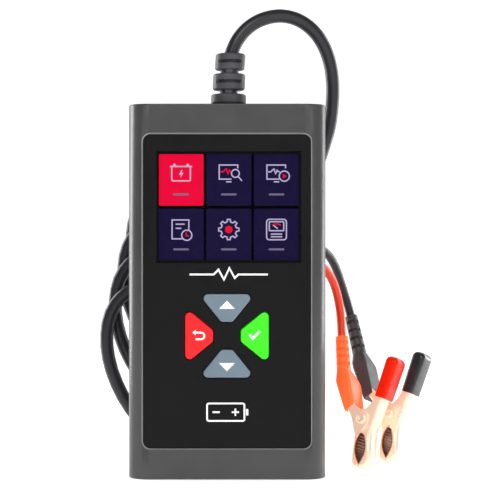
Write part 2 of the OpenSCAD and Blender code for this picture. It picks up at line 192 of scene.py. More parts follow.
MATERIALS = {
    "case_plastic": material("case_plastic", (74, 74, 75), 0.32, grain=2600, bump=0.08, vary=0.06,
                             spec=0.35),
    "panel_gloss": material("panel_gloss", (19, 19, 20), 0.40, grain=3200, bump=0.06, vary=0.08,
                            spec=0.15),
    "lens": material("lens", (4, 4, 6), 0.08, bump=0.0, alpha=0.12, vary=0.3, spec=0.2),
    "display": material("display", (2, 2, 3), 0.2, bump=0.02, spec=0.1),
    "steel": material("steel", (196, 198, 202), 0.28, metal=1.0, scratch=0.15),
    "circuit_board": material("circuit_board", (20, 96, 52), 0.35, bump=0.2, vary=0.3),
    "silicone": material("silicone", (150, 152, 156), 0.6),
    "black_plastic": material("black_plastic", (24, 24, 25), 0.5, spec=0.3),
    "white_plastic": material("white_plastic", (228, 226, 216), 0.45),
    "flex_film": material("flex_film", (196, 134, 52), 0.3),
    "wire_sheath": material("wire_sheath", (150, 44, 36), 0.4),
    "black_rubber": material("black_rubber", (76, 76, 80), 0.44, grain=1500, bump=0.12, spec=0.3),
    "cable_sheath": material("cable_sheath", (42, 41, 45), 0.34, grain=1200, bump=0.08, spec=0.35),
    "red_sheath": material("red_sheath", (252, 62, 18), 0.36, grain=1200, bump=0.08, vary=0.05),
    "tie_fabric": material("tie_fabric", (36, 36, 38), 0.9, weave=1400, bump=0.5),
    "key_blue_grey": material("key_blue_grey", (120, 137, 150), 0.36, bump=0.05, vary=0.04,
                              spec=0.3),
    # The red and green keys glow faintly: painted light, which makes their colour brighter
    "key_red": material("key_red", (252, 38, 42), 0.36, bump=0.05, vary=0.03, spec=0.25, emit=0.05),
    "key_green": material("key_green", (70, 252, 40), 0.36, bump=0.05, vary=0.03, spec=0.25,
                          emit=0.05),
    # The white print glows: painted light, which keeps it bright white
    "white_print": material("white_print", (246, 246, 246), 0.5, bump=0.04, vary=0.02, emit=0.25),
    # The red vinyl glows slightly: painted light, which makes its red brighter
    "red_vinyl": material("red_vinyl", (252, 34, 2), 0.3, bump=0.08, vary=0.05, coat=0.08, emit=0.1,
                          spec=0.15),
    "black_vinyl": material("black_vinyl", (42, 42, 45), 0.3, bump=0.08, coat=0.25, spec=0.3),
    # The copper plate glows: painted light, standing in for the bright reflections on its lit faces
    "copper_plate": material("copper_plate", (255, 214, 188), 0.26, metal=0.4, scratch=0.10,
                             vary=0.05, emit=0.3),
}
# Shades that the record has no slot of their own for: each piece names the slot it belongs to
# The red boot glows: painted light, which makes it brighter
RED_BOOT = material("red_boot", (255, 106, 48), 0.5, bump=0.1, vary=0.04, emit=0.42)
BLACK_BOOT = material("black_boot", (64, 64, 66), 0.5, bump=0.1, vary=0.04, spec=0.4)
# Light grey for the recess chamfer: a painted highlight, the light line that the chamfer catches
CHAMFER_PAINTED_HIGHLIGHT = material("recess_chamfer", (150, 150, 153), 0.35, bump=0.04, vary=0.04)
# Darker copper for the teeth: painted shade of the dark opening between the jaws
JAW_INSIDE_PAINTED_SHADE = material("jaw_inside", (128, 70, 38), 0.35, metal=0.7, bump=0.3, vary=0.35)
SCREEN_BLACK = material("screen_black", (6, 6, 8), 0.3, bump=0.0, spec=0.1)
TILE_RED = material("tile_red", (255, 0, 60), 0.3, bump=0.0, spec=0.05, emit=1.1, lit=True)
TILE_NAVY = material("tile_navy", (24, 17, 60), 0.3, bump=0.0, spec=0.05, emit=1.1, lit=True)
ICON_WHITE = material("icon_white", (208, 196, 236), 0.3, bump=0.0, spec=0.05, emit=1.05, lit=True)
ICON_RED = material("icon_red", (250, 16, 56), 0.3, bump=0.0, spec=0.05, emit=1.1, lit=True)
ICON_FAINT = material("icon_faint", (136, 122, 152), 0.3, bump=0.0, spec=0.05, emit=1.0, lit=True)


# ---------------------------------------------------------------- mesh tools
def piece(name, verts, faces, body, slot, mat=None, sharp=38, crown=0):
    """A mesh object from points in millimetres, which rides on a body."""
    mesh = bpy.data.meshes.new(name)
    mesh.from_pydata([Vector(v) * MM for v in verts], [], faces)
    work = bmesh.new()
    work.from_mesh(mesh)
    bmesh.ops.remove_doubles(work, verts=work.verts, dist=SAME_POINT)
    bmesh.ops.recalc_face_normals(work, faces=work.faces)
    work.to_mesh(mesh)
    work.free()
    for face in mesh.polygons:
        face.use_smooth = True
    mesh.set_sharp_from_angle(angle=math.radians(sharp))
    mesh.materials.append(mat or MATERIALS[slot])
    obj = bpy.data.objects.new(name, mesh)
    bpy.context.scene.collection.objects.link(obj)
    if crown:
        bevel = obj.modifiers.new("rounding", "BEVEL")
        bevel.width = crown * MM
        bevel.segments = 3
        bevel.angle_limit = math.radians(BEVEL_ANGLE)
    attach(obj, body)
    return obj


def merged(solids):
    """Joins (verts, faces) pairs into one pair."""
    verts, faces = [], []
    for more_verts, more_faces in solids:
        start = len(verts)
        verts += list(more_verts)
        faces += [tuple(i + start for i in face) for face in more_faces]
    return verts, faces


def loft(rings, caps=True, ring_closed=True):
    """Walls between rings of equal length, with flat ends."""
    count = len(rings[0])
    verts = [point for ring in rings for point in ring]
    steps = count if ring_closed else count - 1
    faces = []
    for i in range(len(rings) - 1):
        for j in range(steps):
            a, b = i * count + j, i * count + (j + 1) % count
            faces.append((a, b, b + count, a + count))
    if caps:
        faces.append(tuple(range(count))[::-1])
        faces.append(tuple(range((len(rings) - 1) * count, len(rings) * count)))
    return verts, faces


def rounded(cx, cy, half_w, half_h, r, steps=5):
    """The points of a rounded rectangle, anticlockwise."""
    points = []
    for quarter, (sx, sy) in enumerate(((1, 1), (-1, 1), (-1, -1), (1, -1))):
        for i in range(steps + 1):
            a = math.radians(90 * (quarter + i / steps))
            points.append((cx + sx * (half_w - r) + r * math.cos(a),
                           cy + sy * (half_h - r) + r * math.sin(a)))
    return points


SPLINE_STEPS = 6


def smooth_line(points, steps=SPLINE_STEPS):
    """A smooth line through the points, as a Catmull-Rom spline."""
    points = [Vector(p) for p in points]
    ends = [2 * points[0] - points[1]] + points + [2 * points[-1] - points[-2]]
    line = []
    for p0, p1, p2, p3 in zip(ends, ends[1:], ends[2:], ends[3:]):
        for i in range(steps):
            t = i / steps
            line.append(0.5 * (2 * p1 + (p2 - p0) * t + (2 * p0 - 5 * p1 + 4 * p2 - p3) * t * t
                               + (3 * p1 - p0 - 3 * p2 + p3) * t ** 3))
    return line + [points[-1]]


def tube_curve(name, points, diameter, body, slot, mat=None):
    """A round cord, as one open spline."""
    data = bpy.data.curves.new(name, "CURVE")
    data.dimensions = "3D"
    data.bevel_depth = diameter / 2 * MM
    data.bevel_resolution = 8
    data.use_fill_caps = True
    data.materials.append(mat or MATERIALS[slot])
    spline = data.splines.new("POLY")
    spline.points.add(len(points) - 1)
    for target, point in zip(spline.points, points):
        target.co = (*(Vector(point) * MM), 1)
    spline.use_smooth = True
    obj = bpy.data.objects.new(name, data)
    bpy.context.scene.collection.objects.link(obj)
    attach(obj, body)
    return obj


# ---------------------------------------------------------------- strain reliefs
def bump_step(x, low, high, soft):
    """1 between low and high, 0 outside, with soft sides."""
    rise = min(1, max(0, (x - low) / soft))
    fall = min(1, max(0, (high - x) / soft))
    return min(rise, fall)


def collar_radius(height, low, high, radius, round_r):
    """The radius of a collar with rounded edges, or 0 outside it."""
    if not low <= height <= high:
        return 0
    depth = min(height - low, high - height)
    if depth >= round_r:
        return radius
    return radius - round_r + math.sqrt(round_r ** 2 - (round_r - depth) ** 2)


def turned(levels, radius_at, place, around=72):
    """A closed solid whose radius depends on height and on the angle from the front."""
    rings = []
    for height in levels:
        ring = []
        for i in range(around):
            a = 2 * math.pi * i / around
            r = radius_at(height, a)
            ring.append(place((r * math.sin(a), -r * math.cos(a), height)))
        rings.append(ring)
    return loft(rings)


def front_or_back(a, half_angle):
    """Whether an angle from the front lies within half_angle of the front or of the back."""
    from_front = abs((math.degrees(a) + 180) % 360 - 180)
    return min(from_front, 180 - from_front) < half_angle


def make_strain_relief():
    collars = ((0, 3.9, 5.9), (5.2, 10.8, 5.4), (12.0, 17.6, 5.0))
    slits = (8.0, 14.8)
    core_r = 3.0
    round_r = 0.8
    web_angle, web_r = 16, 4.4
    slit_angle, slit_depth, slit_half = 50, 1.5, 0.55
    groove_angle, groove_depth, groove_low, groove_high = 62, 0.5, 0.45, 0.95
    slit_soft, groove_soft = 0.2, 0.12
    lean_factor = 0.0024
    top = collars[-1][1]
    middle_x = RELIEF_LOW.x / 2 + RELIEF_HIGH.x / 2

    def radius_at(height, a):
        r = core_r
        for low, high, collar_r in collars:
            r = max(r, collar_radius(height, low, high, collar_r, round_r))
        for low, high in ((collars[0][1], collars[1][0]), (collars[1][1], collars[2][0])):
            if low < height < high and front_or_back(a, web_angle):
                r = web_r
        for middle in slits:
            if front_or_back(a, slit_angle):
                r -= slit_depth * bump_step(height, middle - slit_half, middle + slit_half,
                                            slit_soft)
        if front_or_back(a, groove_angle):
            r -= groove_depth * bump_step(height, groove_low, groove_high, groove_soft)
        return r

    def place(point):
        x, y, z = point
        return (middle_x + x + lean_factor * z * z, y, CASE_HIGH.z + z)

    # A level every 0.1 mm, and one just beside each collar's edge, so that its side stays steep
    levels = sorted({round(i * 0.1, 2) for i in range(int(top * 10) + 1)}
                    | {round(c[0] - 0.01, 2) for c in collars[1:]}
                    | {round(c[1] + 0.01, 2) for c in collars[:2]})
    verts, faces = turned(levels, radius_at, place, around=96)
    return piece("relief_sleeve", verts, faces, "case", "black_rubber", sharp=50)


# ---------------------------------------------------------------- cords
CABLE_D = 4.6
LEAD_D = 3.0
CABLE_ROUTE = [
    (0.8, 0, 140.6), (1.6, 0, 143.4), (3.6, 0.4, 147.6), (7, 1.2, 151.6), (11.8, 2.4, 154.6),
    (17.8, 4, 156), (23.8, 5.8, 155), (29, 8, 151.8), (32.8, 10.4, 147), (35.2, 12.6, 141),
    (36.3, 14.6, 134), (36.2, 16.4, 126.4), (35.2, 18.2, 118.8), (32.8, 20.4, 110.6),
    (29.6, 22.8, 101), (26.6, 25.4, 90), (24.4, 27.8, 79), (23.4, 29.4, 69.6)]
TAIL_ROUTE = [(-17, 12.7, 64.6), (-9, 12.7, 66.2), (-1, 12.7, 68.6)]
RED_ROUTE = [
    (15, 12.7, 71), (19.5, 12.8, 72.2), (24.5, 13.8, 73), (29, 15.8, 72.4), (33, 19, 70.4),
    (36.2, 22.8, 66.5), (38.2, 25.8, 61.5), (39.4, 27.4, 56), (39.9, 27.4, 50.5), (40.1, 26.2, 45.7)]
BLACK_ROUTE = [
    (15, 12.7, 74.4), (19.5, 14, 76.6), (24, 16.4, 78), (28.6, 19.8, 78.2), (32.4, 23.6, 76.8),
    (35.8, 27.8, 74), (38.4, 31.8, 69.6), (40.4, 35.6, 64.4), (42.4, 38.6, 58.4), (44.1, 39.5, 52.4)]
COIL_SWEEP = 1328
COIL_X, COIL_Y, COIL_Z = -6.2, 12.7, 67.2
COIL_RADIUS_X, COIL_RADIUS_Z = 28, 31
COIL_SLANT = 0.45
# How far each turn lies from the one before it: left, towards the case, and down
COIL_LEFT, COIL_INWARD, COIL_DOWN = 2.6, 4.8, 11.5


def coil_point(t):
    """The middle of the cable when it has turned by t degrees."""
    turn = (t - 180) / 360
    a = math.radians(t)
    across = COIL_RADIUS_X * math.cos(a)
    return (COIL_X - COIL_LEFT * turn + across,
            COIL_Y + COIL_INWARD * (COIL_SWEEP - t) / 360,
            COIL_Z - COIL_DOWN * turn - COIL_RADIUS_Z * math.sin(a) - COIL_SLANT * across)


def make_main_cable():
    coil = [coil_point(t) for t in range(0, COIL_SWEEP + 1, 8)]
    into_coil = smooth_line(CABLE_ROUTE + coil[:2])
    out_of_coil = smooth_line(coil[-2:] + TAIL_ROUTE)
    # Each end piece is smoothed with two of the coil's points, and its double of them is left out
    points = into_coil[:-SPLINE_STEPS - 1] + coil[:-2] + out_of_coil
    return tube_curve("main_cable", points, CABLE_D, "case", "cable_sheath")


def make_lead(colour, route):
    slot = "red_sheath" if colour == "red" else "cable_sheath"
    return tube_curve(f"{colour}_clamp_lead", smooth_line(route), LEAD_D, "case", slot)


def make_strap():
    """A woven strap round the bundle of turns, with its free end lapped over itself."""
    low, high = box_mm("cable_tie")
    cx, cy = (low.x + high.x) / 2, (low.y + high.y) / 2
    inset, thick, lap_inset, corner = 0.4, 1.0, 0.3, 4
    # How far the lap stands out at the side and at the back, and the part of the outline it covers
    lap_side, lap_back, lap_part = 0.9, 0.4, slice(2, 8)
    half_w, half_d = (high.x - low.x) / 2 - inset, (high.y - low.y) / 2 - inset
    rings = []
    outer = rounded(cx, cy, half_w, half_d, corner, steps=8)
    inner = rounded(cx, cy, half_w - thick, half_d - thick, corner - 1, steps=8)
    for (ox, oy), (ix, iy) in zip(outer, inner):
        rings.append([(ox, oy, low.z), (ix, iy, low.z), (ix, iy, high.z), (ox, oy, high.z)])
    rings.append(rings[0])
    band = loft(rings, caps=False)
    lap_out = rounded(cx, cy, half_w + lap_side, half_d + lap_back, 4.4, steps=8)[lap_part]
    lap_in = outer[lap_part]
    lap_low, lap_high = low.z + lap_inset, high.z - lap_inset
    lap = loft([[(ox, oy, lap_low), (ix, iy, lap_low), (ix, iy, lap_high), (ox, oy, lap_high)]
                for (ox, oy), (ix, iy) in zip(lap_out, lap_in)])
    return piece("tie_strap", *merged([band, lap]), "case", "tie_fabric", crown=0.2)


# ---------------------------------------------------------------- clamps
# Pairs of points up one half of a clamp, tip first: the outer line, and the cheek's inner line.
# u runs to the right, v to the back and w up, from the pivot.
JAW_FIXED = [
    ((-0.4, -16.8), (0.45, -16.7)), ((-1.5, -16.4), (0.45, -15.3)), ((-2.3, -15), (-0.7, -13)),
    ((-2.6, -12), (-1.3, -11)), ((-2.7, -8), (-1.2, -8)), ((-2.9, -5), (0.4, -4.4)),
    ((-4.0, -2), (2.0, -2)), ((-4.8, 0.4), (2.0, 1.6)), ((-6.2, 3), (-1.4, 3.6))]
MOVING_HALF = [
    ((1.6, -16.8), (0.75, -16.7)), ((2.9, -16.3), (0.75, -15.3)), ((4.0, -14.8), (1.9, -12.8)),
    ((4.4, -12.2), (2.35, -10.4)), ((4.1, -8.3), (2.0, -7.6)), ((4.0, -4), (0.7, -4.4)),
    ((5.0, 0), (-1.6, -2)), ((6.0, 4), (0.2, 2.4)), ((7.3, 8), (3.9, 7.6)), ((9.9, 19), (6.9, 19))]
BITE_TOP, BITE_END = -5.2, -15.6
NOTCH = 0.55
SHEET_T = 0.6
CLAMP_WIDTHS = {"fixed": 8.2, "moving": 6.8}


def fixed_half(colour):
    """The line pairs of the half that the boot sits on."""
    x, z = REACH[colour]
    return JAW_FIXED + [((x - 7.0, z + 5.0), (x - 4.0, z + 5.6)),
                        ((x - 9.8, z + 12), (x - 7.0, z + 12))]


def at_clamp(colour):
    """The function that puts a clamp's own point (u, v, w) in its place."""
    pivot = PIVOTS[colour]
    return lambda point: pivot + CLAMP_TURN @ Vector(point)


def pressed_half(outline, half_width, place):
    """A half of a clamp, bent from sheet: two cheeks and a spine with round bends between."""
    bend = 1.5
    bend_steps = 5
    outer = smooth_line([(u, w, 0) for (u, w), inner in outline], steps=12)
    inner = smooth_line([(u, w, 0) for o, (u, w) in outline], steps=12)
    rings = []
    for i, (o, n) in enumerate(zip(outer, inner)):
        across = n - o
        reach = across.length
        across.normalize()
        if BITE_END < n.y < BITE_TOP:
            n = n - across * (NOTCH if i % 2 else 0.0)
            reach = (n - o).length
        profile = []
        for sheet_side, r in ((0, bend), (SHEET_T, bend - SHEET_T)):
            half = half_width - sheet_side
            row = [(reach, -half)]
            for k in range(bend_steps + 1):
                a = math.radians(90 * k / bend_steps)
                row.append((sheet_side + r - r * math.sin(a), -half + r - r * math.cos(a)))
            row += [(d, -v) for d, v in reversed(row)]
            profile.append(row)
        section = profile[0] + profile[1][::-1]
        ring = []
        for d, v in section:
            at = o + across * min(d, reach)
            ring.append(place((at.x, v, at.y)))
        rings.append(ring)
    return loft(rings)


def make_teeth(colour, side, half_width, body):
    """The toothed edge of one half between its cheeks. side is 1 for the right half, -1 for left."""
    place = at_clamp(colour)
    bite, tooth, overlap = 0.6, 0.4, 0.5
    line = smooth_line([(0.2, -5.0, 0), (1.2, -7.4, 0), (1.5, -10.6, 0), (1.1, -13.2, 0),
                        (0.2, -15.4, 0)], steps=6)
    rings = []
    for i, at in enumerate(line):
        reach = at.x - (tooth if i % 2 and at.x > bite else 0.0)
        u_near, u_far = bite + side * reach, bite + side * (at.x + overlap)
        corners = ((u_far, -half_width), (u_near, -half_width), (u_near, half_width),
                   (u_far, half_width))
        rings.append([place((u, v, at.y)) for u, v in corners])
    name = "fixed" if side < 0 else "moving"
    return piece(f"{colour}_teeth_{name}", *loft(rings), body, "copper_plate", JAW_INSIDE_PAINTED_SHADE)


def make_rivet(colour):
    """The pivot pin, with a domed and dimpled head on each side."""
    place = at_clamp(colour)
    reach = 4.75
    profile = [(0.0, reach - 0.25), (0.5, reach - 0.22), (0.9, reach), (1.4, reach + 0.02),
               (1.75, reach - 0.2), (1.9, reach - 0.55), (1.0, reach - 0.6)]
    least_r = 0.01
    around = 32
    angles = [2 * math.pi * i / around for i in range(around)]
    line = [(max(r, least_r), -v) for r, v in profile]
    line += [(max(r, least_r), v) for r, v in reversed(profile)]
    rings = [[place((r * math.cos(a), v, r * math.sin(a))) for a in angles] for r, v in line]
    return piece(f"{colour}_rivet", *loft(rings), "case", "copper_plate")


def make_spring(colour, body, part):
    """The torsion spring in two pieces, so that each leg follows the half it presses on."""
    place = at_clamp(colour)
    coil_r, wire = 1.65, 0.5
    turns, turn_steps, start = 5, 16, 200
    coil_near, coil_width = -1.5, 3.0
    if part == "fixed":
        points = [place((-5.9, coil_near, 6.6)), place((-4.6, coil_near, 4.6)),
                  place((-3.0, coil_near, 2.6))]
        for i in range(turns * turn_steps + 1):
            a = math.radians(start + 360 * i / turn_steps)
            v = coil_near + coil_width * i / (turns * turn_steps)
            points.append(place((coil_r * math.cos(a), v, coil_r * math.sin(a))))
    else:
        leg = [(-1.0, 1.75, 1.3), (1.0, 1.75, 1.7), (3.4, 1.75, 4.2), (5.4, 1.75, 9.2)]
        points = smooth_line([place(p) for p in leg], steps=5)
    return tube_curve(f"{colour}_spring_{part}", points, wire, body, "steel")


def make_sleeve(colour):
    """The dipped vinyl sleeve on the moving handle, with a round end."""
    place = at_clamp(colour)
    low, high = Vector((5.75, 7.7)), Vector((8.65, 20.2))
    axis = (high - low).normalized()
    side = Vector((axis.y, -axis.x))
    half_low, half_high, half_v = 2.1, 2.4, 4.0
    round_len = 2.1
    length = (high - low).length
    # The mouth is rolled in over its first steps, and the far end closes in a round cap
    steps = 8
    stations = [0.0, 0.0, 0.35] + [length * i / steps for i in range(1, steps + 1)]
    grow = [0.75, 0.93, 1.0] + [1.0] * steps
    rings = []
    for distance, scale in zip(stations, grow):
        half_u = (half_low + (half_high - half_low) * distance / length) * scale
        rings.append((distance, half_u, half_v * (0.9 + 0.1 * scale)))
    for i in range(1, steps + 1):
        a = math.radians(90 * i / (steps + 0.4))
        rings.append((length + round_len * math.sin(a), half_high * math.cos(a) ** 0.7,
                      half_v * math.cos(a) ** 0.5))
    points = []
    for distance, half_u, half_v_here in rings:
        middle = low + axis * distance
        corner = min(half_u, half_v_here) * 0.62
        points.append([place((middle.x + side.x * u, v, middle.y + side.y * u))
                       for u, v in rounded(0, 0, half_u, half_v_here, corner, steps=6)])
    return piece(f"{colour}_vinyl_sleeve", *loft(points), f"{colour}_jaw", f"{colour}_vinyl",
                 sharp=60)


def make_boot(colour):
    """The moulded boot on the fixed handle, with a slotted neck that the lead goes into."""
    place = at_clamp(colour)
    sections = [
        ((-6.6, 2.3), (-3.5, 4.8), 4.5, 0.6), ((-7.1, 3.3), (-3.7, 5.6), 4.8, 0.8),
        ((-10.9, 11.2), (-5.3, 11.8), 4.8, 0.9), ((-11.5, 12.7), (-5.7, 13.0), 4.8, 1.1),
        ((-11.8, 13.6), (-6.2, 14.0), 4.4, 1.3), ((-12.5, 15.6), (-7.4, 15.8), 3.5, 1.7),
        ((-13.2, 17.4), (-8.6, 17.6), 2.6, 2.1)]
    foot_sections, foot_share_u, foot_share_w = 2, 0.72, 0.5
    rings = []
    for i, ((u0, w0), (u1, w1), half_v, corner) in enumerate(sections):
        half_u = (u1 - u0) / 2
        # The foot stays lower on the longer handle, so that the boot covers the bare metal
        shift_u = REACH[colour][0] * (foot_share_u if i < foot_sections else 1.0)
        shift_w = REACH[colour][1] * (foot_share_w if i < foot_sections else 1.0)
        ring = []
        for u, v in rounded(0, 0, half_u, half_v, min(corner, half_u - 0.1), steps=5):
            share = (u + half_u) / (2 * half_u)
            ring.append(place((shift_u + u0 + (u1 - u0) * share, v,
                               shift_w + w0 + (w1 - w0) * share)))
        rings.append(ring)
    foot_u, foot_w = -10.8, 16.6
    foot = Vector((REACH[colour][0] + foot_u, 0, REACH[colour][1] + foot_w))
    top = Vector((NECK_TOP[colour][0], 0, NECK_TOP[colour][1]))
    length = (top - foot).length
    tilt = Vector((0, 0, 1)).rotation_difference(top - foot)
    slots, slot_depth, slot_half, slot_soft = 4, 0.9, 0.5, 0.12
    front_slot, side_slot = 40, 16
    pitch = (length - 2.4) / slots
    foot_r, taper, least_r = 2.5, 0.3, 1.5
    end_step, end_length = 0.35, 0.05
    level_count = 96

    def radius_at(height, a):
        r = foot_r - taper * height / length
        for k in range(slots):
            middle = 1.9 + (k + 0.3) * pitch
            if front_or_back(a, front_slot) or front_or_back(a - math.pi / 2, side_slot):
                r -= slot_depth * bump_step(height, middle - slot_half, middle + slot_half,
                                            slot_soft)
        return max(r - (end_step if height > length - end_length else 0), least_r)

    levels = [length * i / level_count for i in range(level_count + 1)]
    neck = turned(levels, radius_at, lambda p: place(foot + tilt @ Vector(p)), around=48)
    slot = f"{colour}_vinyl"
    mat = RED_BOOT if colour == "red" else BLACK_BOOT
    return piece(f"{colour}_clamp_boot", *merged([loft(rings), neck]), "case", slot, mat, sharp=32)


def make_clamp(colour):
    """Every piece of one clamp. Returns the pieces that are on its lead."""
    place = at_clamp(colour)
    jaw_body = f"{colour}_jaw"
    fixed = piece(f"{colour}_fixed_half",
                  *pressed_half(fixed_half(colour), CLAMP_WIDTHS["fixed"] / 2, place),
                  "case", "copper_plate", sharp=50)
    moving = piece(f"{colour}_moving_half",
                   *pressed_half(MOVING_HALF, CLAMP_WIDTHS["moving"] / 2, place),
                   jaw_body, "copper_plate", sharp=50)
    boot = make_boot(colour)
    sleeve = make_sleeve(colour)
    rivet = make_rivet(colour)
    spring = make_spring(colour, "case", "fixed")
    spring_leg = make_spring(colour, jaw_body, "moving")
    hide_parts(f"{colour}_fixed_jaw")
    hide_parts(f"{colour}_moving_jaw")
    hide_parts(f"{colour}_boot")
    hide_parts(f"{colour}_sleeve")
    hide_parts(f"{colour}_pivot_pin")
    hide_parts(f"{colour}_spring")
    teeth = [make_teeth(colour, -1, 3.4, "case"), make_teeth(colour, 1, 2.7, jaw_body)]
    return [fixed, moving, boot, sleeve, rivet, spring, spring_leg, *teeth,
            NODES[f"{colour}_terminal"]]


relief = make_strain_relief()
strap = make_strap()
main_cable = make_main_cable()
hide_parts("strain_relief")
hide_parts("cable_tie")
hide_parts("cable", "coil", "cable_tail")

red_lead = make_lead("red", RED_ROUTE)
black_lead = make_lead("black", BLACK_ROUTE)
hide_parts("red_lead")
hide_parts("black_lead")
make_clamp("red")
make_clamp("black")


# ---------------------------------------------------------------- flat graphics
def prism(outline, y_front, y_back):
    """A thin plate whose outline is a list of (x, z) points."""
    front = [(x, y_front, z) for x, z in outline]
    back = [(x, y_back, z) for x, z in outline]
    return loft([front, back])


def stroke(points, width, closed=False):
    """The outlines of a line of that width: one plate for an open line, a ring for a closed one."""
    count = len(points)
    left, right = [], []
    for i, point in enumerate(points):
        here = Vector(point)
        before = Vector(points[i - 1]) if closed or i else None
        after = Vector(points[(i + 1) % count]) if closed or i < count - 1 else None
        a = (here - before).normalized() if before is not None else (after - here).normalized()
        b = (after - here).normalized() if after is not None else a
        normal = Vector((-(a + b).y, (a + b).x)).normalized()
        spread = width / 2 / max(0.5, normal.dot(Vector((-a.y, a.x))))
        left.append(here + normal * spread)
        right.append(here - normal * spread)
    return left, right


def line_plate(points, width, y_front, y_back, closed=False):
    left, right = stroke(points, width, closed)
    if not closed:
        return prism(left + right[::-1], y_front, y_back)
    rings = []
    for a, b in zip(left, right):
        rings.append([(a.x, y_front, a.y), (b.x, y_front, b.y), (b.x, y_back, b.y),
                      (a.x, y_back, a.y)])
    return loft(rings + [rings[0]], caps=False)


def circle(cx, cz, r, start=0, end=360, steps=28):
    full = end - start >= 360
    count = steps if full else steps + 1
    return [(cx + r * math.cos(math.radians(start + (end - start) * i / steps)),
             cz + r * math.sin(math.radians(start + (end - start) * i / steps)))
            for i in range(count)]


PULSE = [(-2.4, -0.1), (-1.5, -0.1), (-1.0, 0.6), (-0.4, 1.1), (0.1, -0.9), (0.6, 0.6), (0.9, 0),
         (1.5, 0)]
LINE = 0.42


def icon_battery():
    white = [("ring", rounded(0, 0.8, 3.1, 2.4, 0.5)), ("line", [(-3.7, 3.2), (3.7, 3.2)]),
             ("fill", [(-2.9, 3.4), (-1.5, 3.4), (-2.2, 4.3)]),
             ("fill", [(1.5, 3.4), (2.9, 3.4), (2.2, 4.3)]),
             ("fill", [(0.2, 2.1), (-0.75, 0.5), (0.0, 0.5), (-0.25, -0.6), (0.8, 1.05),
                       (0.1, 1.05), (0.5, 2.1)])]
    return white, []


def icon_screen(extra_white, extra_red, pulse_red):
    frame_line = [(3.0, 2.6), (3.0, 3.7), (-3.2, 3.7), (-3.2, -1.0), (0.9, -1.0)]
    pulse = [(x - 0.4, z * 0.8 + 1.5) for x, z in PULSE]
    white = [("line", frame_line), ("line", [(-0.9, -1.9), (0.9, -1.9)])] + extra_white
    red = list(extra_red)
    (red if pulse_red else white).append(("line", pulse))
    return white, red


def icon_waveform():
    lens = [("ring", circle(2.2, 0.9, 1.3)), ("line", [(3.1, -0.1), (4.4, -1.6)])]
    return icon_screen(lens, [], True)


def icon_playback():
    return icon_screen([("ring", circle(2.6, 0.0, 1.7))],
                       [("fill", [(2.1, -0.8), (2.1, 0.8), (3.4, 0)])], False)


def icon_records():
    white = [("line", [(0.4, -2.6), (-3.0, -2.6), (-3.0, 3.7), (2.6, 3.7), (2.6, 0.4)]),
             ("line", [(-1.8, 2.3), (1.2, 2.3)]), ("line", [(-1.8, 0.9), (0.1, 0.9)]),
             ("ring", circle(1.9, -1.4, 1.7))]
    return white, [("line", [(1.7, -0.5), (1.7, -1.6), (2.6, -1.6)])]


def icon_gear():
    teeth = 8
    outline = []
    for k in range(teeth):
        for offset, r in ((-13, 2.6), (-8, 3.4), (8, 3.4), (13, 2.6)):
            a = math.radians(90 + 360 * k / teeth + offset)
            outline.append((r * math.cos(a), 0.5 + r * math.sin(a)))
    return [("ring", outline)], [("fill", circle(0, 0.5, 1.25))]


def icon_meter():
    white = [("ring", rounded(0, 0.5, 3.3, 3.4, 0.9)), ("ring", rounded(0, 1.6, 2.4, 1.5, 0.2)),
             ("line", [(-1.0, 1.9), (0.4, 0.8)]),
             ("line", [(-1.9, -1.0), (1.9, -1.0)]), ("line", [(-1.9, -1.9), (1.9, -1.9)])]
    return white, [("line", circle(0, 0.2, 2.2, 50, 130, 10))]


def plates(shapes, dx, dz, y_front, y_back, width=LINE):
    """Solids for a list of ("ring" | "line" | "fill", points), moved by dx and dz."""
    solids = []
    for kind, points in shapes:
        moved = [(x + dx, z + dz) for x, z in points]
        if kind == "fill":
            solids.append(prism(moved, y_front, y_back))
        else:
            solids.append(line_plate(moved, width, y_front, y_back, closed=kind == "ring"))
    return solids


def make_screen():
    tile_w, tile_h = 15.0, 17.3
    pitch_x, pitch_z = 15.9, 18.3
    tile_corner = 0.6
    icon_up, label_down = 1.2, 4.9
    label_half_w, label_half_h, label_corner = 2.6, 0.32, 0.3
    glass_y = GLASS_LOW.y
    tile_y, icon_y, icon_back = glass_y - 0.05, glass_y - 0.08, glass_y - 0.04
    icons = [[icon_battery, icon_waveform, icon_playback], [icon_records, icon_gear, icon_meter]]
    navy, red_tile, white, red, faint = [], [], [], [], []
    for row in range(2):
        for column in range(3):
            x = SCREEN_X + (column - 1) * pitch_x
            z = SCREEN_Z + (0.5 - row) * pitch_z
            tile = prism(rounded(x, z, tile_w / 2, tile_h / 2, tile_corner), tile_y, glass_y)
            (navy if row or column else red_tile).append(tile)
            light, accent = icons[row][column]()
            white += plates(light, x, z + icon_up, icon_y, icon_back)
            red += plates(accent, x, z + icon_up, icon_y, icon_back)
            label = rounded(x, z - label_down, label_half_w, label_half_h, label_corner)
            faint.append(prism(label, icon_y, icon_back))
    for name, solids, mat in (("tiles_navy", navy, TILE_NAVY), ("tile_red", red_tile, TILE_RED),
                              ("icon_lines", white, ICON_WHITE), ("icon_accents", red, ICON_RED),
                              ("icon_labels", faint, ICON_FAINT)):
        piece(name, *merged(solids), "case", "display", mat)


def ring_plate(outer, inner, y_outer, y_inner):
    """A closed band between two outlines of equal length, whose face slopes from one to the other."""
    depth = 0.25
    rings = []
    for (ox, oz), (ix, iz) in zip(outer, inner):
        rings.append([(ox, y_outer, oz), (ix, y_inner, iz), (ix, y_inner + depth, iz),
                      (ox, y_outer + depth, oz)])
    return loft(rings + [rings[0]], caps=False)


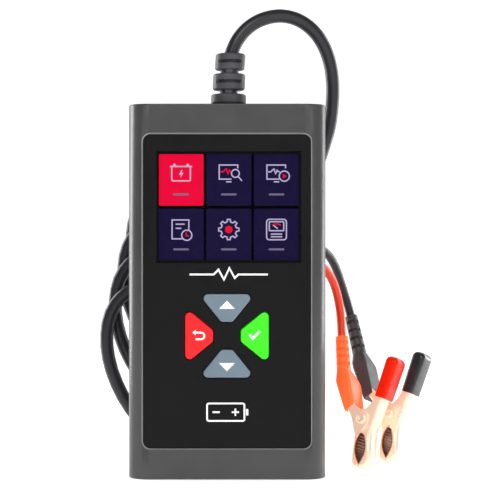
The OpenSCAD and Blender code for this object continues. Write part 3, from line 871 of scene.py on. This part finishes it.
def make_recess_chamfer():
    """The chamfer round the recess that the panel lies in, coloured light grey as a painted highlight."""
    cx, cz = (PANEL_LOW.x + PANEL_HIGH.x) / 2, (PANEL_LOW.z + PANEL_HIGH.z) / 2
    half_w, half_h = (PANEL_HIGH.x - PANEL_LOW.x) / 2, (PANEL_HIGH.z - PANEL_LOW.z) / 2
    gap_outer, gap_inner, corner_outer, corner_inner = 0.45, 0.05, 2.9, 2.5
    proud, deep = 0.03, 0.4
    outer = rounded(cx, cz, half_w + gap_outer, half_h + gap_outer, corner_outer, steps=10)
    inner = rounded(cx, cz, half_w + gap_inner, half_h + gap_inner, corner_inner, steps=10)
    band = ring_plate(outer, inner, CASE_LOW.y - proud, CASE_LOW.y + deep)
    piece("recess_chamfer", *band, "case", "case_plastic", CHAMFER_PAINTED_HIGHLIGHT)


def make_screen_border():
    """The black border round the edge of the lens, just in front of it."""
    half_w, half_h = (LENS_HIGH.x - LENS_LOW.x) / 2, (LENS_HIGH.z - LENS_LOW.z) / 2
    edge, side_w, side_h, proud = 0.05, 0.8, 0.9, 0.04
    outer = rounded(SCREEN_X, SCREEN_Z, half_w - edge, half_h - edge, 0.6)
    inner = rounded(SCREEN_X, SCREEN_Z, half_w - side_w, half_h - side_h, 0.5)
    border_y = LENS_LOW.y - proud
    piece("screen_border", *ring_plate(outer, inner, border_y, border_y), "case", "lens",
          SCREEN_BLACK)


def make_panel_print():
    """Plain generic marks in white: a pulse line under the screen, a battery sign below the keys."""
    proud, sunk = 0.04, 0.02
    pulse_width, sign_width = 0.6, 0.55
    front = PANEL_LOW.y - proud
    back = PANEL_LOW.y + sunk
    pulse_z = 68.2
    sign_x, sign_z = -0.4, 22.4
    pulse = [(-13, 0), (-5, 0), (-3.4, 1.6), (-1.6, -1.7), (0.2, 2.1), (2, -1.2), (3.2, 0), (13, 0)]
    solids = plates([("line", pulse)], SCREEN_X, pulse_z, front, back, width=pulse_width)
    sign = [("ring", rounded(0, 0, 6.2, 2.9, 0.6)), ("fill", rounded(7.1, 0, 0.4, 1.1, 0.3)),
            ("line", [(-4.4, 0), (-2.0, 0)]), ("line", [(2.0, 0), (4.4, 0)]),
            ("line", [(3.2, 1.2), (3.2, -1.2)])]
    solids += plates(sign, sign_x, sign_z, front, back, width=sign_width)
    piece("panel_print", *merged(solids), "case", "white_print")


make_screen()
make_screen_border()
make_recess_chamfer()
make_panel_print()


# ---------------------------------------------------------------- carried-over CAD nodes
def dress(node, slot, rounding):
    """Gives a CAD node its material, and rounds its edges.

    Its triangles are merged into flat faces first, or the bevel would follow their long slivers.
    """
    obj = NODES[node]
    obj.data.materials.clear()
    obj.data.materials.append(MATERIALS[slot])
    if rounding:
        weld = obj.modifiers.new("weld", "WELD")
        weld.merge_threshold = WELD_GAP
        flat = obj.modifiers.new("flat_faces", "DECIMATE")
        flat.decimate_type = "DISSOLVE"
        flat.angle_limit = math.radians(FLAT_ANGLE)
        bevel = obj.modifiers.new("rounding", "BEVEL")
        bevel.width = rounding * MM
        bevel.segments = 2
        bevel.angle_limit = math.radians(BEVEL_ANGLE)
        bevel.use_clamp_overlap = False
        bevel.harden_normals = True


ROUNDINGS = {
    "front_cover": 0.5, "rear_cover": 0.25, "face_panel": 0.12, "splitter": 1.2, "lcd_frame": 0.3,
    "main_board": 0.15, "keypad_mat": 0.2, "load_transistors": 0.3, "buzzer": 0.3,
    "case_screws": 0.2, "board_screws": 0.15, "cable_header": 0.2,
    "up_button": 0.4, "down_button": 0.4, "back_button": 0.4, "ok_button": 0.4}
replaced = {"strain_relief", "cable", "coil", "cable_tail", "cable_tie", "red_lead", "black_lead"}
replaced |= {f"{colour}_{part}" for colour in ("red", "black")
             for part in ("boot", "fixed_jaw", "moving_jaw", "sleeve", "pivot_pin", "spring")}
for row in frame["record"]["subparts"]:
    if row["node"] not in replaced:
        dress(row["node"], row["material_slot"], ROUNDINGS.get(row["node"], 0.0))


# ---------------------------------------------------------------- stage and light
def make_stage():
    """A pale floor that curves up into a backdrop."""
    mat = material("stage_white", (244, 244, 244), 0.5, bump=0.0, vary=0.01, emit=0.72)
    half, bend, back, top = 1500, 500, 900, 2200
    line = [(-half, 0)]
    line += [(back + bend * math.sin(math.radians(a)), bend - bend * math.cos(math.radians(a)))
             for a in range(0, 91, 6)]
    line.append((back + bend, top))
    rings = [[(x, y, z) for y, z in line] for x in (-half, half)]
    verts, faces = loft(rings, caps=False, ring_closed=False)
    mesh = bpy.data.meshes.new("stage")
    mesh.from_pydata([Vector(v) * MM for v in verts], [], faces)
    for face in mesh.polygons:
        face.use_smooth = True
    mesh.materials.append(mat)
    obj = bpy.data.objects.new("stage", mesh)
    bpy.context.scene.collection.objects.link(obj)


def make_light(name, place, aim, size, watts):
    data = bpy.data.lights.new(name, "AREA")
    data.shape = "RECTANGLE"
    data.size, data.size_y = size[0] * MM, size[1] * MM
    data.energy = watts
    obj = bpy.data.objects.new(name, data)
    obj.location = Vector(place) * MM
    obj.rotation_euler = (Vector(aim) - Vector(place)).to_track_quat("-Z", "Y").to_euler()
    bpy.context.scene.collection.objects.link(obj)


make_stage()
for light in (("key", (-60, -680, 600), (0, 0, 70), (420, 420), 3.2),
              ("fill", (420, -560, 260), (10, 0, 60), (300, 400), 0.75),
              ("left_strip", (-300, 190, 90), (-20, 0, 70), (110, 420), 1.3),
              ("right_strip", (310, 190, 90), (20, 0, 70), (110, 420), 1.1)):
    make_light(*light)
world = bpy.data.worlds.new("studio")
world.use_nodes = True
world.node_tree.nodes["Background"].inputs["Color"].default_value = (1, 1, 1, 1)
world.node_tree.nodes["Background"].inputs["Strength"].default_value = WORLD_LIGHT
bpy.context.scene.world = world
bpy.context.scene.view_settings.view_transform = "Standard"
